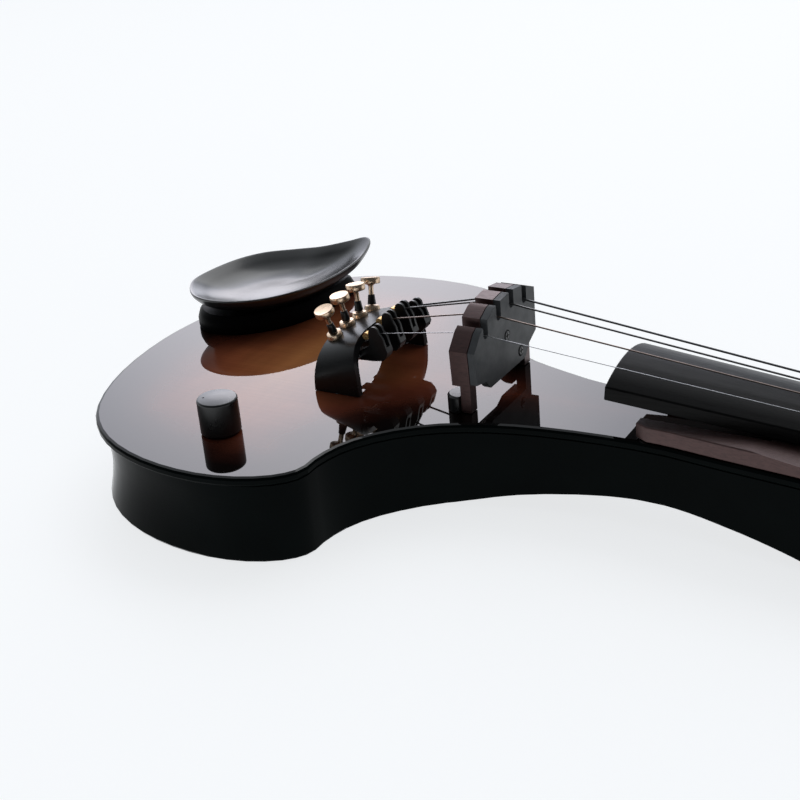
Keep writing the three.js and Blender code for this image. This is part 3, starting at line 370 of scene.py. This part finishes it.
def faced_out(mesh):
    """Turns every face of a solid outwards."""
    mesh.normal_update()
    bmesh.ops.recalc_face_normals(mesh, faces=mesh.faces)
    if mesh.calc_volume(signed=True) < 0:
        bmesh.ops.reverse_faces(mesh, faces=mesh.faces)
    return mesh


# ------------------------------------------------------------------ body

PLATE_EDGE = 1.3 * MM  # depth below the flat top at which the plate is widest
PLATE_GRID = (5.3 * MM, 4.9 * MM)  # spacing of the added lines along X and Y


def cut_up(mesh, axis, low, high, step):
    """Adds lines across the plate's flat top so that it has points inside it."""
    place = low + step
    while place < high:
        point, normal = Vector((0, 0, 0)), Vector((0, 0, 0))
        point[axis], normal[axis] = place, 1
        flat = [f for f in mesh.faces if f.normal.z > 0.9999 and f.calc_center_median().z > TOP - 1e-5]
        edges = {edge for face in flat for edge in face.edges}
        bmesh.ops.bisect_plane(mesh, geom=[*flat, *edges, *{v for e in edges for v in e.verts}], dist=1e-7,
                               plane_co=point, plane_no=normal)
        place += step


def make_plate():
    """The flat top. Each point carries its distance from the plate's edge, for the sunburst."""
    low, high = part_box("top_plate")
    mesh = cad_mesh("top_plate")
    rim = [v.co.copy() for v in mesh.verts if abs(v.co.z - (TOP - PLATE_EDGE)) < 1e-5]
    for axis, step in enumerate(PLATE_GRID):
        cut_up(mesh, axis, low[axis], high[axis], step)
    mesh = to_mesh(mesh, "top_plate_fine", 15)
    tree = kdtree.KDTree(len(rim))
    for i, point in enumerate(rim):
        tree.insert(point.xy.to_3d(), i)
    tree.balance()
    distances = [tree.find(v.co.xy.to_3d())[2] for v in mesh.vertices]
    attribute = mesh.attributes.new("edge_distance", "FLOAT", "POINT")
    attribute.data.foreach_set("value", distances)
    eased(shown("top_plate_fine", mesh, "top_plate"))
    mesh.materials.append(FINISH["black_lacquer"])
    for face in mesh.polygons:
        face.material_index = 0 if face.normal.z > 0.8 else 1


# ------------------------------------------------------------------ turned pieces and screws

def turned(profile, sides=64, ridges=None, ridge_depth=0.04):
    """A solid turned about Z from [radius, height] points in mm. The profile starts and ends on the
    axis, or closes on its first point. Points at the ridged radius alternate in and out, for a
    knurled edge."""
    mesh = bmesh.new()
    rings = []
    for radius, height in profile:
        if radius == 0:
            rings.append([mesh.verts.new((0, 0, height * MM))] * sides)
            continue
        ring = []
        for i in range(sides):
            ridged = ridges and abs(radius - ridges) < 0.02
            r = radius * MM * (1 - ridge_depth * (i % 2) if ridged else 1)
            angle = 2 * math.pi * i / sides
            ring.append(mesh.verts.new((r * math.cos(angle), r * math.sin(angle), height * MM)))
        rings.append(ring)
    for low, high in zip(rings, rings[1:]):
        for i in range(sides):
            j = (i + 1) % sides
            corners = []
            for vertex in (low[i], low[j], high[j], high[i]):
                if vertex not in corners:
                    corners.append(vertex)
            if len(corners) > 2:
                mesh.faces.new(corners)
    return faced_out(mesh)


def placed(mesh, origin, axis):
    """Moves a mesh made about Z so that its axis points along the given direction."""
    turn = Vector(axis).normalized().to_track_quat("Z", "Y").to_matrix().to_4x4()
    mesh.transform(Matrix.Translation(origin) @ turn)
    return mesh


def carved(mesh, cutters):
    """The mesh with closed cutters taken out of it."""
    body = bpy.data.objects.new("carving", mesh)
    SCENE.collection.objects.link(body)
    made = [body]
    for cutter in cutters:
        data = bpy.data.meshes.new("cutter")
        cutter.to_mesh(data)
        cutter.free()
        tool = bpy.data.objects.new("cutter", data)
        SCENE.collection.objects.link(tool)
        boolean = body.modifiers.new("cut", "BOOLEAN")
        boolean.object, boolean.operation, boolean.solver = tool, "DIFFERENCE", "MANIFOLD"
        made.append(tool)
    result = bpy.data.meshes.new_from_object(body.evaluated_get(bpy.context.evaluated_depsgraph_get()))
    for thing in made:
        bpy.data.objects.remove(thing)
    return result


def block(size):
    """A box in mm, centred on the origin."""
    mesh = bmesh.new()
    bmesh.ops.create_cube(mesh, size=1, matrix=Matrix.Diagonal((*(s * MM for s in size), 1)))
    return mesh


def arc(radius, centre, start, end, steps):
    """Profile points round a quarter or so of a circle, angles in degrees."""
    angles = (math.radians(start + (end - start) * i / steps) for i in range(steps + 1))
    return [(centre[0] + radius * math.cos(a), centre[1] + radius * math.sin(a)) for a in angles]


def cross_screw(node, axis, head_radius, head_height, shank_radius):
    """A pan-head screw with a cross recess, on the centre line of its CAD node."""
    low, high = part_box(node)
    axis = Vector(axis)
    centre = (low + high) / 2
    along = max(range(3), key=lambda i: abs(axis[i]))
    length = (high - low)[along] / MM
    top = centre.copy()
    top[along] = high[along] if axis[along] > 0 else low[along]
    round_over = 0.45 * head_height
    profile = [(0, -length), (shank_radius, -length), (shank_radius, -head_height),
               (head_radius, -head_height)]
    profile += arc(round_over, (head_radius - round_over, -round_over), 0, 90, 5) + [(0, 0)]
    mesh = to_mesh(turned(profile, 40), node + "_fine", 40)
    arm, width, depth = head_radius * 1.3, head_radius * 0.26, head_height * 1.2
    mesh = carved(mesh, [block((arm, width, depth)), block((width, arm, depth))])
    source = bmesh.new()
    source.from_mesh(mesh)
    piece_mesh = to_mesh(placed(source, top, axis), node + "_fine", 40)
    eased(shown(node + "_fine", piece_mesh, node))


def make_knob():
    """A plain round knob with a domed top and a small dimple that marks its position."""
    low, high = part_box("volume_knob")
    centre = (low + high) / 2
    radius, height = (high.x - low.x) / 2 / MM, (high.z - low.z) / MM
    origin = Vector((centre.x, centre.y, low.z))
    profile = [(0, 0), (radius - 0.35, 0), (radius, 0.4), (radius, height - 1.5)]
    profile += arc(1.1, (radius - 1.1, height - 1.5), 0, 62, 6)
    profile += [(radius * 0.55, height - 0.16), (radius * 0.3, height - 0.05), (0, height)]
    mesh = to_mesh(turned(profile, 96), "volume_knob_fine", 40)
    dimple_place = (0.55 * radius * MM, 0.35 * radius * MM, (height - 0.2) * MM)
    dimple = placed(turned([(0, -1), (0.45, -1), (0.45, 1), (0, 1)], 16), dimple_place, (0, 0, 1))
    source = bmesh.new()
    source.from_mesh(carved(mesh, [dimple]))
    mesh = to_mesh(placed(source, origin, (0, 0, 1)), "volume_knob_fine", 40)
    eased(shown("volume_knob_fine", mesh, "volume_knob"))


TUNER_HEAD, TUNER_COLLAR = 4.1, 3.3  # radii, mm
TUNER_SCREW = [  # [radius, height above the arch's skin] along a tuner's axis, mm
    (0, -4.3), (0.8, -4.3), (0.8, 6.8), (1.05, 6.8), (1.05, 10.2), (1.3, 10.8), (2.2, 11.2), (3.8, 11.3),
    (TUNER_HEAD, 11.6), (TUNER_HEAD, 13.7), (3.85, 14.0), (3.2, 13.9), (1.2, 13.8), (0, 13.8),
]
TUNER_SLEEVE_RING = [(0.85, 2.6), (1.75, 2.6), (1.8, 3.1), (1.5, 5.6), (1.45, 6.5), (1.2, 6.8), (0.85, 6.8),
                     (0.85, 2.6)]
TUNER_COLLAR_RING = [(1.1, -0.3), (TUNER_COLLAR, -0.3), (TUNER_COLLAR, 1.5), (3.0, 2.1), (2.4, 2.3),
                     (1.1, 2.2), (1.1, -0.3)]


def make_tuners():
    """Gold screws with knurled heads, each with a black sleeve over its stem, and gold collars."""
    for name in STRINGS:
        joint = JOINTS[f"tuner_{name}_turn"]
        origin, axis = Vector(joint["pos_m"]), -Vector(joint["axis"])
        screw = placed(turned(TUNER_SCREW, 52, ridges=TUNER_HEAD, ridge_depth=0.055), origin, axis)
        shown(f"tuner_screw_{name}_fine", to_mesh(screw, "screw", 38), f"tuner_screw_{name}")
        ring = placed(turned(TUNER_SLEEVE_RING, 40), origin, axis)
        piece = bpy.data.objects.new(f"tuner_sleeve_{name}", to_mesh(ring, "sleeve", 38))
        SCENE.collection.objects.link(piece)
        piece.data.materials.append(FINISH["satin_black_metal"])
        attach(piece, BODY_OF[f"tuner_screw_{name}"])
        ring = placed(turned(TUNER_COLLAR_RING, 72, ridges=TUNER_COLLAR, ridge_depth=0.03), origin, axis)
        shown(f"tuner_collar_{name}_fine", to_mesh(ring, "collar", 38), f"tuner_collar_{name}")


# ------------------------------------------------------------------ chin rest

def spline(points, steps, closed=False):
    """Points on a Catmull-Rom curve through the given ones."""
    n = len(points)
    vectors = [Vector(p) for p in points]
    pick = (lambda i: vectors[i % n]) if closed else (lambda i: vectors[min(max(i, 0), n - 1)])
    found = []
    for i in range(n if closed else n - 1):
        a, b, c, d = (pick(i + k) for k in (-1, 0, 1, 2))
        for k in range(steps):
            t = k / steps
            found.append(0.5 * (2 * b + (c - a) * t + (2 * a - 5 * b + 4 * c - d) * t * t
                                + (3 * b - a - 3 * c + d) * t ** 3))
    return found if closed else found + [vectors[-1]]


def skin(rings):
    """A closed solid over rings of points in metres, with a fan over the first and the last."""
    mesh = bmesh.new()
    made = [[mesh.verts.new(p) for p in ring] for ring in rings]
    for low, high in zip(made, made[1:]):
        for i in range(len(low)):
            j = (i + 1) % len(low)
            mesh.faces.new((low[i], low[j], high[j], high[i]))
    for ring in (made[0], made[-1]):
        middle = mesh.verts.new(sum((v.co for v in ring), Vector()) / len(ring))
        for i in range(len(ring)):
            mesh.faces.new((ring[i], ring[(i + 1) % len(ring)], middle))
    return faced_out(mesh)


CHIN_RIM = [  # x and y from under the bridge, height above the chin rest's level, mm
    (-169.5, 25, 1), (-167, 14.5, 0.4), (-159, 6, 0), (-148, 2.8, 0), (-137, 4.6, 0), (-126.5, 10.8, 0),
    (-118, 21, 0), (-112, 34, 0), (-109, 47, 0.2), (-108, 60, 0.8), (-108.2, 71, 2), (-110, 80.5, 4.2),
    (-114.5, 84.5, 5), (-121.5, 80.5, 3.8), (-131.5, 73.2, 2.6), (-143, 67.5, 2), (-156, 58.5, 2),
    (-164.5, 45, 1.8),
]
CHIN_LEVEL, CHIN_DISH, CHIN_WALL = 18, 6, 3.2  # rim above the flat top, depth and thickness, mm
CHIN_MIDDLE = (-138, 38)
BRIDGE_X = 85  # the bridge's front face from the origin, mm


def make_chin_rest():
    """A dished cup with a thin rim, on a duller block."""
    rim = spline(CHIN_RIM, 7, closed=True)

    def ring(share, drop, level):
        points = []
        for q in rim:
            x = q.x + (CHIN_MIDDLE[0] - q.x) * share + BRIDGE_X
            y = q.y + (CHIN_MIDDLE[1] - q.y) * share
            z = CHIN_LEVEL + q.z * (1 - level) - drop
            points.append(Vector((x * MM, y * MM, TOP + z * MM)))
        return points

    deep = CHIN_DISH + CHIN_WALL
    section = [(0.97, deep, 1), (0.4, deep - 0.6, 1), (0.22, CHIN_DISH * 0.75 + CHIN_WALL - 0.6, 0.7),
               (0.1, CHIN_DISH * 0.45 + CHIN_WALL - 0.8, 0.4), (0.03, 2.6, 0.1), (0.006, 1.0, 0.0),
               (0.006, 0.25, 0.0), (0.022, 0.0, 0.0), (0.13, CHIN_DISH * 0.3, 0.1),
               (0.25, CHIN_DISH * 0.62, 0.4), (0.42, CHIN_DISH * 0.88, 0.7), (0.65, CHIN_DISH * 0.99, 1),
               (0.97, CHIN_DISH, 1)]
    mesh = to_mesh(skin([ring(*s) for s in spline(section, 4)]), "chin_rest_cup_fine", 60)
    shown("chin_rest_cup_fine", mesh, "chin_rest_cup")
    black = painted("chin_rest_black", (0.004, 0.004, 0.0045), 0.4, 0.15, 12, 0.002,
                    **{"Specular IOR Level": 0.04})
    refine("chin_rest_block", 0, material=black)


# ------------------------------------------------------------------ assembly

make_camera()
make_studio()
FINISH = finishes()
make_plate()
make_knob()
make_tuners()
make_chin_rest()
for number in (1, 2):
    cross_screw(f"bridge_screw_{number}", (1, 0, 0), 2.0, 1.2, 1.3)
for number in (1, 2, 3, 4):
    cross_screw(f"cover_screw_{number}", (0, 0, -1), 2.5, 0.75, 0.95)
refine("body_shell", 0, angle=40)
for node, width in {  # edge rounding in mm
    "cavity_cover": 0, "tailpiece_arch": 0.35, "bridge_core": 0.35, "bridge_plate": 0.3,
    "bridge_post_treble": 0, "bridge_post_bass": 0, "fingerboard_riser": 0.25, "fingerboard": 0.5,
    "neck": 0.3, "nut": 0.2, "output_jack": 0.2, "jack_nut": 0.2, "potentiometer": 0.2,
    "potentiometer_shaft": 0.2, "lever_axle": 0.15, "battery": 0.6, "battery_clip": 0.2,
    "preamp_board": 0.2,
}.items():
    refine(node, width)
for node in NODES:
    if node.startswith(("chin_rest_bolt", "arch_bolt", "ball_end")):
        refine(node, 0)
    if node.startswith("string_"):
        refine(node, 0, material=string_metal(node[7]))
    if node.startswith(("tuner_lever", "peg_")):
        refine(node, 0.2)
